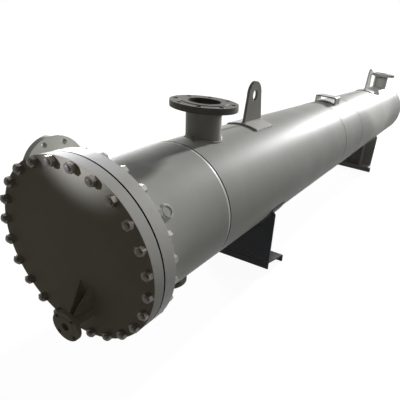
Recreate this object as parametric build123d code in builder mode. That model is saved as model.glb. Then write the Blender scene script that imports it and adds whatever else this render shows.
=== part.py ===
# Horizontal shell and tube heat exchanger on two saddles, millimetres.
# The vessel axis runs along +Y, with the bolted cover at the -Y end and the
# dished end at the +Y end. +Z is up, and +X is the side with the coupling.
# The origin is on the floor, in the middle of the front saddle's front foot.
import os

from build123d import *

os.makedirs("parts", exist_ok=True)

# Shell and channel
shell_inner_d = 700.0
shell_wall = 10.0
channel_length = 553.0
tube_sheet_t = 30.0
shell_front_length = 2270.0
shell_middle_length = 655.0
shell_rear_length = 2560.0
head_skirt = 25.0
head_inner_depth = 175.0

# Cover joint
flange_t = 71.0
cover_t = 60.0
gasket_t = 6.0
gasket_width = 30.0
gasket_to_bolt_circle = 27.5
flange_past_bolt_circle = 22.5
bolt_count = 24
stud_d = 24.0
bolt_hole_d = 27.0
nut_flats = 41.0
nut_h = 24.0
stud_past_nut = 9.0

# Where the vessel stands over its saddles
cover_to_front_foot = 1380.0
foot_spacing = 3230.0
axis_over_floor = 640.0

# Saddles: a bent channel base, a web, ribs behind it and a wear plate
base_web_side = 694.0
base_rib_side = 776.0
base_depth = 190.0
base_h = 60.0
base_plate_t = 10.0
web_length = 694.0
web_t = 12.0
web_setback = 8.0
horn_below_axis = 165.0
horn_cut = 25.0
rib_t = 10.0
rib_spacing = 420.0
rib_setback = 12.0
wear_t = 8.0
wear_length = 210.0
wear_angle = 130.0
saddle_hole_d = 24.0
saddle_hole_spacing = 560.0

# Large nozzles: two on top of the shell and one on the side of the channel
nozzle_od = 204.0
nozzle_wall = 9.0
nozzle_flange_od = 385.0
nozzle_flange_t = 34.0
nozzle_bolt_circle_d = 325.0
nozzle_bolt_count = 8
nozzle_bolt_hole_d = 30.0
raised_face_d = 265.0
raised_face_h = 3.0
top_nozzle_reach = 552.0
top_front_from_cover = 958.0
top_rear_before_head = 365.0
side_nozzle_reach = 632.0
side_nozzle_from_cover = 439.0
side_nozzle_over_axis = 124.0

# Nozzle under the channel
bottom_nozzle_od = 114.0
bottom_nozzle_wall = 6.0
bottom_flange_od = 232.0
bottom_flange_t = 24.0
bottom_bolt_circle_d = 190.0
bottom_bolt_count = 8
bottom_bolt_hole_d = 19.0
bottom_raised_face_d = 157.0
bottom_nozzle_reach = 465.0
bottom_from_tube_sheet = 64.0

# Nozzle on the cover, with two gusset plates above it
cover_nozzle_od = 60.0
cover_nozzle_bore_d = 40.0
cover_nozzle_x = 45.0
cover_nozzle_below_axis = 290.0
cover_nozzle_reach = 136.0
cover_nozzle_flange_od = 152.0
cover_nozzle_flange_t = 19.0
cover_nozzle_bolt_circle_d = 120.0
cover_nozzle_bolt_count = 4
cover_nozzle_bolt_hole_d = 19.0
cover_nozzle_face_d = 92.0
cover_nozzle_face_h = 2.0
gusset_t = 6.0
gusset_reach = 168.0
gusset_h = 110.0
gusset_angle = 12.4

# Coupling with its plug, on the near side of the channel
coupling_od = 60.0
coupling_bore_d = 42.0
coupling_h = 10.0
coupling_from_cover = 248.0
coupling_angle = 54.9
plug_recess = 2.0

# Lifting lugs
lug_t = 20.0
lug_base_length = 244.0
lug_hole_d = 70.0
lug_hole_over_axis = 541.0
lug_round_r = 88.0
lug_pad_t = 10.0
lug_pad_length = 250.0
lug_pad_forward = 15.0
lug_pad_width = 230.0
lug_front_from_cover = 1562.0
lug_rear_before_head = 1190.0

# Nameplate bracket on top of the shell
bracket_past_seam = 270.0
bracket_length = 150.0
bracket_width = 220.0
bracket_over_pad = 44.0
bracket_t = 12.0
bracket_bend_r = 18.0
bracket_pad_t = 10.0

# Inside the vessel
partition_t = 12.0
tube_d = 25.0
tube_pitch = 72.0
tube_clearance = 0.3
tube_edge_gap = 24.0
bend_before_tangent = 70.0
baffle_t = 10.0
baffle_gap = 4.0
baffle_count = 6
baffle_window = 150.0

# Sizes worked out from the ones above
shell_ir = shell_inner_d / 2
shell_or = shell_ir + shell_wall
bolt_circle_r = shell_ir + gasket_width + gasket_to_bolt_circle
flange_r = bolt_circle_r + flange_past_bolt_circle
nozzle_r = nozzle_od / 2
nozzle_bore_r = nozzle_r - nozzle_wall
bottom_nozzle_r = bottom_nozzle_od / 2
bottom_bore_r = bottom_nozzle_r - bottom_nozzle_wall
wear_r = shell_or + wear_t
lug_pad_r = shell_or + lug_pad_t
bracket_pad_r = shell_or + bracket_pad_t
bracket_over_axis = bracket_pad_r + bracket_over_pad
axis_z = axis_over_floor

# Stations along the axis, from the cover to the dished end
cover_y = -cover_to_front_foot
gasket_y = cover_y + cover_t
flange_y = gasket_y + gasket_t
barrel_y = flange_y + flange_t
tube_sheet_y = barrel_y + channel_length
shell_front_y = tube_sheet_y + tube_sheet_t
shell_middle_y = shell_front_y + shell_front_length
shell_rear_y = shell_middle_y + shell_middle_length
head_y = shell_rear_y + shell_rear_length
tangent_y = head_y + head_skirt
top_front_y = cover_y + top_front_from_cover
top_rear_y = head_y - top_rear_before_head
side_nozzle_y = cover_y + side_nozzle_from_cover
bottom_nozzle_y = tube_sheet_y - bottom_from_tube_sheet
coupling_y = cover_y + coupling_from_cover
lug_front_y = cover_y + lug_front_from_cover
lug_rear_y = head_y - lug_rear_before_head
bracket_y = shell_middle_y + bracket_past_seam
vessel_axis = Axis((0, 0, axis_z), (0, 1, 0))


def across(y):
    """Plane square to the vessel axis at y, drawn with its x along +X and its y downwards."""
    return Plane(origin=(0, y, axis_z), x_dir=(1, 0, 0), z_dir=(0, 1, 0))


def upright(y):
    """Plane square to the axis at y, with the floor as y = 0 and its normal towards the cover."""
    return Plane(origin=(0, y, 0), x_dir=(1, 0, 0), z_dir=(0, -1, 0))


def save(part, name):
    part.label = name
    export_step(part, f"parts/{name}.step")


# Cover, gasket and channel flange
with BuildPart() as cover_plate:
    with BuildSketch(across(cover_y)):
        Circle(flange_r)
        with PolarLocations(bolt_circle_r, bolt_count, start_angle=180 / bolt_count):
            Circle(bolt_hole_d / 2, mode=Mode.SUBTRACT)
        with Locations((cover_nozzle_x, cover_nozzle_below_axis)):
            Circle(cover_nozzle_bore_d / 2, mode=Mode.SUBTRACT)
    extrude(amount=cover_t)
save(cover_plate.part, "cover_plate")

with BuildPart() as body_gasket:
    with BuildSketch(across(gasket_y)):
        Circle(shell_ir + gasket_width)
        Circle(shell_ir, mode=Mode.SUBTRACT)
    extrude(amount=gasket_t)
save(body_gasket.part, "body_gasket")

with BuildPart() as channel_flange:
    with BuildSketch(across(flange_y)):
        Circle(flange_r)
        Circle(shell_ir, mode=Mode.SUBTRACT)
        with PolarLocations(bolt_circle_r, bolt_count, start_angle=180 / bolt_count):
            Circle(bolt_hole_d / 2, mode=Mode.SUBTRACT)
    extrude(amount=flange_t)
save(channel_flange.part, "channel_flange")

# Stud bolts through the cover and the flange, with a nut at each end
stud_start_y = cover_y - nut_h - stud_past_nut
stud_length = cover_t + gasket_t + flange_t + 2 * (nut_h + stud_past_nut)
with BuildPart() as cover_studs:
    with BuildSketch(across(stud_start_y)):
        with PolarLocations(bolt_circle_r, bolt_count, start_angle=180 / bolt_count):
            Circle(stud_d / 2)
    extrude(amount=stud_length)
save(cover_studs.part, "cover_studs")

with BuildPart() as cover_nuts:
    for nut_y in (cover_y - nut_h, barrel_y):
        with BuildSketch(across(nut_y)):
            with PolarLocations(bolt_circle_r, bolt_count, start_angle=180 / bolt_count):
                RegularPolygon(nut_flats / 2, 6, major_radius=False)
                Circle(stud_d / 2, mode=Mode.SUBTRACT)
        extrude(amount=nut_h)
save(cover_nuts.part, "cover_nuts")

# Channel barrel, with its side, bottom and coupling holes
with BuildPart() as channel_barrel:
    with BuildSketch(across(barrel_y)):
        Circle(shell_or)
        Circle(shell_ir, mode=Mode.SUBTRACT)
    extrude(amount=channel_length)
    with BuildSketch(Plane.YZ):
        with Locations((side_nozzle_y, axis_z + side_nozzle_over_axis)):
            Circle(nozzle_bore_r)
    extrude(amount=-flange_r, mode=Mode.SUBTRACT)
    with BuildSketch(Plane.XY.offset(axis_z)):
        with Locations((0, bottom_nozzle_y)):
            Circle(bottom_bore_r)
    extrude(amount=-flange_r, mode=Mode.SUBTRACT)
    with BuildSketch(Plane(origin=(0, coupling_y, axis_z)).rotated((0, coupling_angle, 0))):
        Circle(coupling_bore_d / 2)
    extrude(amount=flange_r, mode=Mode.SUBTRACT)
save(channel_barrel.part, "channel_barrel")

# Tube layout: columns across the bundle, each with its U tubes one inside another
bundle_r = shell_ir - tube_edge_gap - tube_d / 2
column_count = int(bundle_r // tube_pitch)
u_tubes = []
for column in range(-column_count, column_count + 1):
    for row in range(1, column_count + 1):
        tube_x = column * tube_pitch
        leg = (row - 0.25) * tube_pitch
        if tube_x**2 + leg**2 <= bundle_r**2:
            u_tubes.append((tube_x, leg))
tube_places = [(x, side * leg) for x, leg in u_tubes for side in (-1, 1)]
straight_end_y = tangent_y - bend_before_tangent - max(leg for x, leg in u_tubes)
baffle_spacing = (straight_end_y - shell_front_y) / (baffle_count + 1)

with BuildPart() as tube_sheet:
    with BuildSketch(across(tube_sheet_y)):
        Circle(shell_or)
        with Locations(*tube_places):
            Circle(tube_d / 2 + tube_clearance, mode=Mode.SUBTRACT)
    extrude(amount=tube_sheet_t)
save(tube_sheet.part, "tube_sheet")

with BuildPart() as pass_partition:
    with BuildSketch(across(gasket_y)):
        Circle(shell_ir)
        Rectangle(shell_inner_d, partition_t, mode=Mode.INTERSECT)
    extrude(amount=tube_sheet_y - gasket_y)
save(pass_partition.part, "pass_partition")

# Shell courses
shell_courses = (
    ("shell_front", shell_front_y, shell_front_length, (top_front_y,)),
    ("shell_middle", shell_middle_y, shell_middle_length, ()),
    ("shell_rear", shell_rear_y, shell_rear_length, (top_rear_y,)),
)
for course_name, course_y, course_length, nozzle_stations in shell_courses:
    with BuildPart() as shell_course:
        with BuildSketch(across(course_y)):
            Circle(shell_or)
            Circle(shell_ir, mode=Mode.SUBTRACT)
        extrude(amount=course_length)
        for station_y in nozzle_stations:
            with BuildSketch(Plane.XY.offset(axis_z)):
                with Locations((0, station_y)):
                    Circle(nozzle_bore_r)
            extrude(amount=flange_r, mode=Mode.SUBTRACT)
    save(shell_course.part, course_name)

# Dished end, an ellipse in section
with BuildPart() as rear_head:
    with BuildSketch(Plane.YZ):
        with BuildLine():
            crown = EllipticalCenterArc(
                (tangent_y, axis_z), head_inner_depth + shell_wall, shell_or, start_angle=0, arc_size=90)
            hollow = EllipticalCenterArc(
                (tangent_y, axis_z), head_inner_depth, shell_ir, start_angle=0, arc_size=90)
            Line(crown @ 0, hollow @ 0)
            Polyline(crown @ 1, (head_y, axis_z + shell_or), (head_y, axis_z + shell_ir), hollow @ 1)
        make_face()
    revolve(axis=vessel_axis)
save(rear_head.part, "rear_head")

# Top nozzles: a neck set on the shell and a flange with a raised face
neck_top_z = axis_z + top_nozzle_reach - raised_face_h - nozzle_flange_t
for nozzle_name, nozzle_y in (("top_nozzle_front", top_front_y), ("top_nozzle_rear", top_rear_y)):
    with BuildPart() as neck:
        with BuildSketch(Plane.XY.offset(axis_z)):
            with Locations((0, nozzle_y)):
                Circle(nozzle_r)
                Circle(nozzle_bore_r, mode=Mode.SUBTRACT)
        extrude(amount=neck_top_z - axis_z)
        with BuildSketch(across(nozzle_y - flange_r)):
            Circle(shell_or)
        extrude(amount=2 * flange_r, mode=Mode.SUBTRACT)
    save(neck.part, f"{nozzle_name}_neck")
    with BuildPart() as nozzle_flange:
        with BuildSketch(Plane.XY.offset(neck_top_z)):
            with Locations((0, nozzle_y)):
                Circle(nozzle_flange_od / 2)
                Circle(nozzle_bore_r, mode=Mode.SUBTRACT)
                with PolarLocations(
                        nozzle_bolt_circle_d / 2, nozzle_bolt_count, start_angle=180 / nozzle_bolt_count):
                    Circle(nozzle_bolt_hole_d / 2, mode=Mode.SUBTRACT)
        extrude(amount=nozzle_flange_t)
        with BuildSketch(Plane.XY.offset(neck_top_z + nozzle_flange_t)):
            with Locations((0, nozzle_y)):
                Circle(raised_face_d / 2)
                Circle(nozzle_bore_r, mode=Mode.SUBTRACT)
        extrude(amount=raised_face_h)
    save(nozzle_flange.part, f"{nozzle_name}_flange")

# Side nozzle, level, above the vessel axis on the -X side of the channel
side_neck_end = side_nozzle_reach - raised_face_h - nozzle_flange_t
side_centre = (side_nozzle_y, axis_z + side_nozzle_over_axis)
with BuildPart() as side_neck:
    with BuildSketch(Plane.YZ):
        with Locations(side_centre):
            Circle(nozzle_r)
            Circle(nozzle_bore_r, mode=Mode.SUBTRACT)
    extrude(amount=-side_neck_end)
    with BuildSketch(across(side_nozzle_y - flange_r)):
        Circle(shell_or)
    extrude(amount=2 * flange_r, mode=Mode.SUBTRACT)
save(side_neck.part, "side_nozzle_neck")

with BuildPart() as side_flange:
    with BuildSketch(Plane.YZ.offset(-side_neck_end)):
        with Locations(side_centre):
            Circle(nozzle_flange_od / 2)
            Circle(nozzle_bore_r, mode=Mode.SUBTRACT)
            with PolarLocations(
                    nozzle_bolt_circle_d / 2, nozzle_bolt_count, start_angle=180 / nozzle_bolt_count):
                Circle(nozzle_bolt_hole_d / 2, mode=Mode.SUBTRACT)
    extrude(amount=-nozzle_flange_t)
    with BuildSketch(Plane.YZ.offset(-side_neck_end - nozzle_flange_t)):
        with Locations(side_centre):
            Circle(raised_face_d / 2)
            Circle(nozzle_bore_r, mode=Mode.SUBTRACT)
    extrude(amount=-raised_face_h)
save(side_flange.part, "side_nozzle_flange")

# Nozzle under the channel
bottom_neck_end = bottom_nozzle_reach - raised_face_h - bottom_flange_t
with BuildPart() as bottom_neck:
    with BuildSketch(Plane.XY.offset(axis_z)):
        with Locations((0, bottom_nozzle_y)):
            Circle(bottom_nozzle_r)
            Circle(bottom_bore_r, mode=Mode.SUBTRACT)
    extrude(amount=-bottom_neck_end)
    with BuildSketch(across(bottom_nozzle_y - flange_r)):
        Circle(shell_or)
    extrude(amount=2 * flange_r, mode=Mode.SUBTRACT)
save(bottom_neck.part, "bottom_nozzle_neck")

with BuildPart() as bottom_flange:
    with BuildSketch(Plane.XY.offset(axis_z - bottom_neck_end)):
        with Locations((0, bottom_nozzle_y)):
            Circle(bottom_flange_od / 2)
            Circle(bottom_bore_r, mode=Mode.SUBTRACT)
            with PolarLocations(
                    bottom_bolt_circle_d / 2, bottom_bolt_count, start_angle=180 / bottom_bolt_count):
                Circle(bottom_bolt_hole_d / 2, mode=Mode.SUBTRACT)
    extrude(amount=-bottom_flange_t)
    with BuildSketch(Plane.XY.offset(axis_z - bottom_neck_end - bottom_flange_t)):
        with Locations((0, bottom_nozzle_y)):
            Circle(bottom_raised_face_d / 2)
            Circle(bottom_bore_r, mode=Mode.SUBTRACT)
    extrude(amount=-raised_face_h)
save(bottom_flange.part, "bottom_nozzle_flange")

# Nozzle on the cover
cover_neck_end = cover_nozzle_reach - cover_nozzle_face_h - cover_nozzle_flange_t
cover_nozzle_place = (cover_nozzle_x, cover_nozzle_below_axis)
with BuildPart() as cover_neck:
    with BuildSketch(across(cover_y)):
        with Locations(cover_nozzle_place):
            Circle(cover_nozzle_od / 2)
            Circle(cover_nozzle_bore_d / 2, mode=Mode.SUBTRACT)
    extrude(amount=-cover_neck_end)
save(cover_neck.part, "cover_nozzle_neck")

with BuildPart() as cover_flange:
    with BuildSketch(across(cover_y - cover_neck_end)):
        with Locations(cover_nozzle_place):
            Circle(cover_nozzle_flange_od / 2)
            Circle(cover_nozzle_bore_d / 2, mode=Mode.SUBTRACT)
            with PolarLocations(
                    cover_nozzle_bolt_circle_d / 2, cover_nozzle_bolt_count,
                    start_angle=180 / cover_nozzle_bolt_count):
                Circle(cover_nozzle_bolt_hole_d / 2, mode=Mode.SUBTRACT)
    extrude(amount=-cover_nozzle_flange_t)
    with BuildSketch(across(cover_y - cover_neck_end - cover_nozzle_flange_t)):
        with Locations(cover_nozzle_place):
            Circle(cover_nozzle_face_d / 2)
            Circle(cover_nozzle_bore_d / 2, mode=Mode.SUBTRACT)
    extrude(amount=-cover_nozzle_face_h)
save(cover_flange.part, "cover_nozzle_flange")

# Two gusset plates between the cover and the neck of its nozzle
cover_nozzle_centre = (cover_nozzle_x, cover_y, axis_z - cover_nozzle_below_axis)
with BuildPart() as gussets:
    for lean in (-gusset_angle, gusset_angle):
        outward = Vector(0, 0, 1).rotate(Axis.Y, lean)
        with BuildSketch(Plane(
                origin=cover_nozzle_centre, x_dir=outward, z_dir=outward.cross(Vector(0, -1, 0)))):
            with BuildLine():
                Polyline((0, 0), (gusset_reach, 0), (cover_nozzle_od / 2, gusset_h), (0, gusset_h), close=True)
            make_face()
        extrude(amount=gusset_t / 2, both=True)
    with BuildSketch(across(cover_y)):
        with Locations(cover_nozzle_place):
            Circle(cover_nozzle_od / 2)
    extrude(amount=-cover_nozzle_reach, mode=Mode.SUBTRACT)
save(gussets.part, "cover_nozzle_gussets")

# Coupling and its plug
coupling_plane = Plane(origin=(0, coupling_y, axis_z)).rotated((0, coupling_angle, 0))
coupling_top = shell_or + coupling_h
with BuildPart() as coupling:
    with BuildSketch(coupling_plane):
        Circle(coupling_od / 2)
        Circle(coupling_bore_d / 2, mode=Mode.SUBTRACT)
    extrude(amount=coupling_top)
    with BuildSketch(across(coupling_y - coupling_od)):
        Circle(shell_or)
    extrude(amount=2 * coupling_od, mode=Mode.SUBTRACT)
save(coupling.part, "channel_coupling")

with BuildPart() as plug:
    with BuildSketch(coupling_plane.offset(shell_ir)):
        Circle(coupling_bore_d / 2)
    extrude(amount=coupling_top - plug_recess - shell_ir)
save(plug.part, "channel_plug")

# Lifting lugs: a plate along the axis, on a pad rolled to the shell
for lug_name, lug_y in (("lug_front", lug_front_y), ("lug_rear", lug_rear_y)):
    pad_y = lug_y - lug_pad_forward
    with BuildPart() as lug_pad:
        with BuildSketch(Plane.XY.offset(axis_z)):
            with Locations((0, pad_y)):
                Rectangle(lug_pad_width, lug_pad_length)
        extrude(amount=flange_r)
        with BuildSketch(across(pad_y - lug_pad_length / 2)):
            Circle(lug_pad_r)
        extrude(amount=lug_pad_length, mode=Mode.INTERSECT)
        with BuildSketch(across(pad_y - lug_pad_length / 2)):
            Circle(shell_or)
        extrude(amount=lug_pad_length, mode=Mode.SUBTRACT)
    save(lug_pad.part, f"{lug_name}_pad")
    hole_z = axis_z + lug_hole_over_axis
    with BuildPart() as lug:
        with BuildSketch(Plane.YZ):
            with Locations((lug_y, hole_z)):
                Circle(lug_round_r)
            with BuildLine():
                Line((lug_y - lug_base_length / 2, axis_z), (lug_y + lug_base_length / 2, axis_z))
                Line((lug_y + lug_base_length / 2, axis_z), (lug_y + lug_base_length / 2, axis_z + lug_pad_r))
                Line((lug_y + lug_base_length / 2, axis_z + lug_pad_r), (lug_y + lug_round_r, hole_z))
                Line((lug_y + lug_round_r, hole_z), (lug_y - lug_round_r, hole_z))
                Line((lug_y - lug_round_r, hole_z), (lug_y - lug_base_length / 2, axis_z + lug_pad_r))
                Line((lug_y - lug_base_length / 2, axis_z + lug_pad_r), (lug_y - lug_base_length / 2, axis_z))
            make_face()
            with Locations((lug_y, hole_z)):
                Circle(lug_hole_d / 2, mode=Mode.SUBTRACT)
        extrude(amount=lug_t / 2, both=True)
        with BuildSketch(across(lug_y - lug_base_length)):
            Circle(lug_pad_r)
        extrude(amount=2 * lug_base_length, mode=Mode.SUBTRACT)
    save(lug.part, lug_name)

# Nameplate bracket: a flat bar bent to an upside-down U over a rolled pad, open along the axis
bracket_start = bracket_y - bracket_length / 2
bracket_top_z = axis_z + bracket_over_axis
with BuildPart() as bracket:
    with BuildSketch(upright(bracket_start)) as bracket_section:
        with Locations((0, axis_z)):
            Circle(bracket_pad_r)
        with Locations((0, axis_z + bracket_over_axis / 2)):
            Rectangle(bracket_width, bracket_over_axis, mode=Mode.INTERSECT)
        for side in (-1, 1):
            with Locations((side * (bracket_width - bracket_t) / 2, axis_z + bracket_over_axis / 2)):
                Rectangle(bracket_t, bracket_over_axis)
        with Locations((0, bracket_top_z - bracket_t / 2)):
            Rectangle(bracket_width, bracket_t)
        with Locations((0, axis_z)):
            Circle(shell_or, mode=Mode.SUBTRACT)
        corners = bracket_section.vertices().group_by(Axis.Y)
        fillet(corners[-1], bracket_bend_r)
        fillet(corners[-2], bracket_bend_r - bracket_t)
    extrude(amount=-bracket_length)
save(bracket.part, "nameplate_bracket")

# Saddles. The front one has its web at its front edge and its ribs behind;
# the rear one is turned round.
for saddle_name, foot_y, turn in (("front_saddle", 0.0, 1), ("rear_saddle", foot_spacing, -1)):
    base_front = foot_y - base_plate_t / 2
    base_mid = base_front + base_depth / 2
    web_edge = base_mid - turn * base_depth / 2
    rib_edge = base_mid + turn * base_depth / 2
    web_near = web_edge + turn * web_setback
    rib_far = rib_edge - turn * rib_setback
    with BuildPart() as saddle_base:
        with BuildSketch(Plane.XY):
            with BuildLine():
                Polyline(
                    (-base_web_side / 2, web_edge), (base_web_side / 2, web_edge),
                    (base_rib_side / 2, rib_edge), (-base_rib_side / 2, rib_edge), close=True)
            make_face()
        extrude(amount=base_h)
        with BuildSketch(Plane.XY):
            with Locations((0, base_mid)):
                Rectangle(base_rib_side, base_depth - 2 * base_plate_t)
        extrude(amount=base_h - base_plate_t, mode=Mode.SUBTRACT)
        with BuildSketch(Plane.XY):
            with Locations((0, base_mid)):
                with GridLocations(saddle_hole_spacing, 0, 2, 1):
                    Circle(saddle_hole_d / 2)
        extrude(amount=base_h, mode=Mode.SUBTRACT)
    save(saddle_base.part, f"{saddle_name}_base")
    with BuildPart() as saddle_wear:
        with BuildSketch(across(base_mid - wear_length / 2)):
            with BuildLine():
                band = CenterArc((0, 0), wear_r, 90 - wear_angle / 2, wear_angle)
                seat = CenterArc((0, 0), shell_or, 90 - wear_angle / 2, wear_angle)
                Line(band @ 0, seat @ 0)
                Line(band @ 1, seat @ 1)
            make_face()
        extrude(amount=wear_length)
    save(saddle_wear.part, f"{saddle_name}_wear_plate")
    with BuildPart() as saddle_web:
        with BuildSketch(upright(web_near)):
            with Locations((0, (base_h + axis_z - horn_below_axis) / 2)):
                web_plate = Rectangle(web_length, axis_z - horn_below_axis - base_h)
            chamfer(web_plate.vertices().group_by(Axis.Y)[-1], horn_cut)
            with Locations((0, axis_z)):
                Circle(wear_r, mode=Mode.SUBTRACT)
        extrude(amount=-turn * web_t)
    save(saddle_web.part, f"{saddle_name}_web")
    with BuildPart() as saddle_ribs:
        rib_near = web_near + turn * web_t
        with BuildSketch(Plane.XY.offset(base_h)):
            with Locations((0, (rib_near + rib_far) / 2)):
                with GridLocations(rib_spacing, 0, 2, 1):
                    Rectangle(rib_t, abs(rib_far - rib_near))
        extrude(amount=axis_z - base_h)
        with BuildSketch(across(base_mid - base_depth)):
            Circle(wear_r)
            with Locations((0, -wear_r)):
                Rectangle(2 * wear_r, 2 * wear_r)
        extrude(amount=2 * base_depth, mode=Mode.SUBTRACT)
    save(saddle_ribs.part, f"{saddle_name}_ribs")

# U tubes, in upright planes, one inside another
with BuildPart() as tube_bundle:
    for tube_x, leg in u_tubes:
        with BuildLine(Plane.YZ.offset(tube_x)):
            lower = Line((tube_sheet_y, axis_z - leg), (straight_end_y, axis_z - leg))
            bend = CenterArc((straight_end_y, axis_z), leg, -90, 180)
            Line(bend @ 1, (tube_sheet_y, axis_z + leg))
        with BuildSketch(Plane(
                origin=(tube_x, tube_sheet_y, axis_z - leg), x_dir=(1, 0, 0), z_dir=(0, 1, 0))):
            Circle(tube_d / 2)
        sweep()
save(tube_bundle.part, "tube_bundle")

# Baffles, cut away at the top and the bottom in turn
with BuildPart() as baffles:
    for number in range(baffle_count):
        baffle_y = shell_front_y + (number + 1) * baffle_spacing
        window_side = 1 if number % 2 else -1
        with BuildSketch(across(baffle_y)):
            Circle(shell_ir - baffle_gap)
            with Locations(*tube_places):
                Circle(tube_d / 2 + tube_clearance, mode=Mode.SUBTRACT)
            with Locations((0, window_side * shell_ir)):
                Rectangle(shell_inner_d, 2 * baffle_window, mode=Mode.SUBTRACT)
        extrude(amount=baffle_t)
save(baffles.part, "baffles")
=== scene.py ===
import math

import bmesh
import bpy
from mathutils import Euler, Matrix, Vector


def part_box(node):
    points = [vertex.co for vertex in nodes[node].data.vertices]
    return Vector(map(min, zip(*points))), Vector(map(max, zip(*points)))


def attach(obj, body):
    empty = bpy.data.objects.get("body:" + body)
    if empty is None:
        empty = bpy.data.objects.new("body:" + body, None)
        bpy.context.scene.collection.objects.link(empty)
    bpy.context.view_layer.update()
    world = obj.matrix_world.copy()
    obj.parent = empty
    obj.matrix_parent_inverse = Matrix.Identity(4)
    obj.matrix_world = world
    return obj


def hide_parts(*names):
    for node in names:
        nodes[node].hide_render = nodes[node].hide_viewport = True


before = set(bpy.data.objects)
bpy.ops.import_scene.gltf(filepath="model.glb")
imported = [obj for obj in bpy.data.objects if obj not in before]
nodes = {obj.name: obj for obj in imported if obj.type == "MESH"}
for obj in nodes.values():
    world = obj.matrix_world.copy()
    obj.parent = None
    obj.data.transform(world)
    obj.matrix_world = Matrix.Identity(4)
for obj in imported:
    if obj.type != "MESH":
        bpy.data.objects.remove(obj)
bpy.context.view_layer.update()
MM = 0.001
X, Y, Z = Vector((1, 0, 0)), Vector((0, 1, 0)), Vector((0, 0, 1))

# Camera: standing in front of the cover, near side, looking along the shell
camera_place = (1.313, -2.419, 1.588)
camera_turn = (60.11, -6.95, 25.80)
camera_sensor = 36
camera_lens = 35.96
camera_shift = (-0.172, 0.143)


def make_camera():
    data = bpy.data.cameras.new("camera")
    data.sensor_width = camera_sensor
    data.lens = camera_lens
    data.shift_x, data.shift_y = camera_shift
    camera = bpy.data.objects.new("camera", data)
    camera.location = camera_place
    camera.rotation_euler = Euler([math.radians(a) for a in camera_turn])
    bpy.context.scene.collection.objects.link(camera)
    bpy.context.scene.camera = camera


make_camera()
bpy.context.scene.view_settings.view_transform = "Standard"


# Sizes read from the CAD nodes' boxes, in metres
class Span:
    """The box of a CAD node."""

    def __init__(self, node):
        self.low, self.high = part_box(node)
        self.mid = (self.low + self.high) / 2
        self.size = self.high - self.low


span = {name: Span(name) for name in nodes}
cover, gasket, flange = span["cover_plate"], span["body_gasket"], span["channel_flange"]
barrel, sheet = span["channel_barrel"], span["tube_sheet"]
courses = [span[name] for name in ("shell_front", "shell_middle", "shell_rear")]
head = span["rear_head"]
side_neck, bottom_neck = span["side_nozzle_neck"], span["bottom_nozzle_neck"]
cover_neck, cover_pipe_flange = span["cover_nozzle_neck"], span["cover_nozzle_flange"]
boss = span["channel_coupling"]
axis_z = flange.mid.z
shell_r = courses[0].size.x / 2
flange_r = flange.size.x / 2
boss_r = boss.size.y / 2

# Sizes that the boxes do not give, as in the part's source
wall = 10 * MM
head_skirt = 25 * MM
wear_t = 8 * MM
rib_t = 10 * MM
bolt_circle_r = 407.5 * MM
bolt_count = 24
bolt_hole_r = 13.5 * MM
stud_r = 12 * MM
stud_pitch = 3 * MM
nut_flats = 41 * MM
nut_h = 24 * MM
coupling_angle = math.radians(54.9)
coupling_bore_r = 21 * MM
coupling_h = 10 * MM
plug_recess = 2 * MM
tube_r = 12.5 * MM
tube_step = 36 * MM
first_leg = 54 * MM
last_row = 6
nest_r = 313.5 * MM
bends_y = span["tube_bundle"].high.y

# Bolt holes of a pipe flange: the circle's radius, how many, and the hole's radius
nozzle_bolts = (162.5 * MM, 8, 15 * MM)
bottom_bolts = (95 * MM, 8, 9.5 * MM)
cover_nozzle_bolts = (60 * MM, 4, 9.5 * MM)

# Pipes on the shell: the wall, the raised face's radius, and the flange's bolt holes
nozzle_wall, bottom_wall = 9 * MM, 6 * MM
large_pipe = (nozzle_wall, 132.5 * MM, nozzle_bolts)
small_pipe = (bottom_wall, 78.5 * MM, bottom_bolts)
raised_face_h = 3 * MM
side_bore_r = side_neck.size.y / 2 - nozzle_wall
bottom_bore_r = bottom_neck.size.x / 2 - bottom_wall
cover_nozzle_bore_r = 20 * MM
cover_face_h = 2 * MM
cover_face_r = 46 * MM

# How finely round forms are drawn, in steps round
vessel_steps = 256
cover_steps = 240
disc_steps = 192
seam_steps = 180
flange_steps = 128
pipe_steps = 96
small_pipe_steps = 64
hole_steps = 48
stud_steps = 20
tube_hole_steps = 16

# Finish of edges and holes
rolled_ease = 1 * MM
plate_ease = 1.2 * MM
forged_ease = 1.5 * MM
boss_ease = 2 * MM
hole_chamfer = 1 * MM
shell_hole_gap = 0.5 * MM
hole_gap = 0.3 * MM

# Turned grooves of a raised face. Real ones lie under 1 mm apart; here they are coarse enough
# to show.
face_groove_pitch = 5 * MM
face_groove_depth = 0.5 * MM
face_groove_margins = (6 * MM, 8 * MM)


def place_at(origin, across, out):
    """Matrix whose x runs across and whose z runs out."""
    up = out.cross(across)
    turn = Matrix((across, up, out)).transposed().to_4x4()
    return Matrix.Translation(origin) @ turn


vessel = place_at(Vector((0, 0, axis_z)), X, Y)
top_front = place_at(Vector((0, span["top_nozzle_front_neck"].mid.y, axis_z)), X, Z)
top_rear = place_at(Vector((0, span["top_nozzle_rear_neck"].mid.y, axis_z)), X, Z)
side = place_at(Vector((0, side_neck.mid.y, side_neck.mid.z)), Z, -X)
side_offset = side_neck.mid.z - axis_z
bottom = place_at(Vector((0, bottom_neck.mid.y, axis_z)), -X, -Z)
cover_pipe = place_at(Vector((cover_neck.mid.x, cover.low.y, cover_neck.mid.z)), X, -Y)
coupling_out = Vector((math.sin(coupling_angle), 0, math.cos(coupling_angle)))
coupling_across = coupling_out.cross(-Y).normalized() * -1
coupling_place = place_at(Vector((0, boss.mid.y, axis_z)), coupling_across, coupling_out)


# Colours, nodes and materials
def linear(hex_colour):
    """sRGB hex to the linear colour that a shader takes."""
    channels = [int(hex_colour[i:i + 2], 16) / 255 for i in (1, 3, 5)]
    return tuple(c / 12.92 if c <= 0.04045 else ((c + 0.055) / 1.055) ** 2.4
                 for c in channels) + (1.0,)


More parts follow.
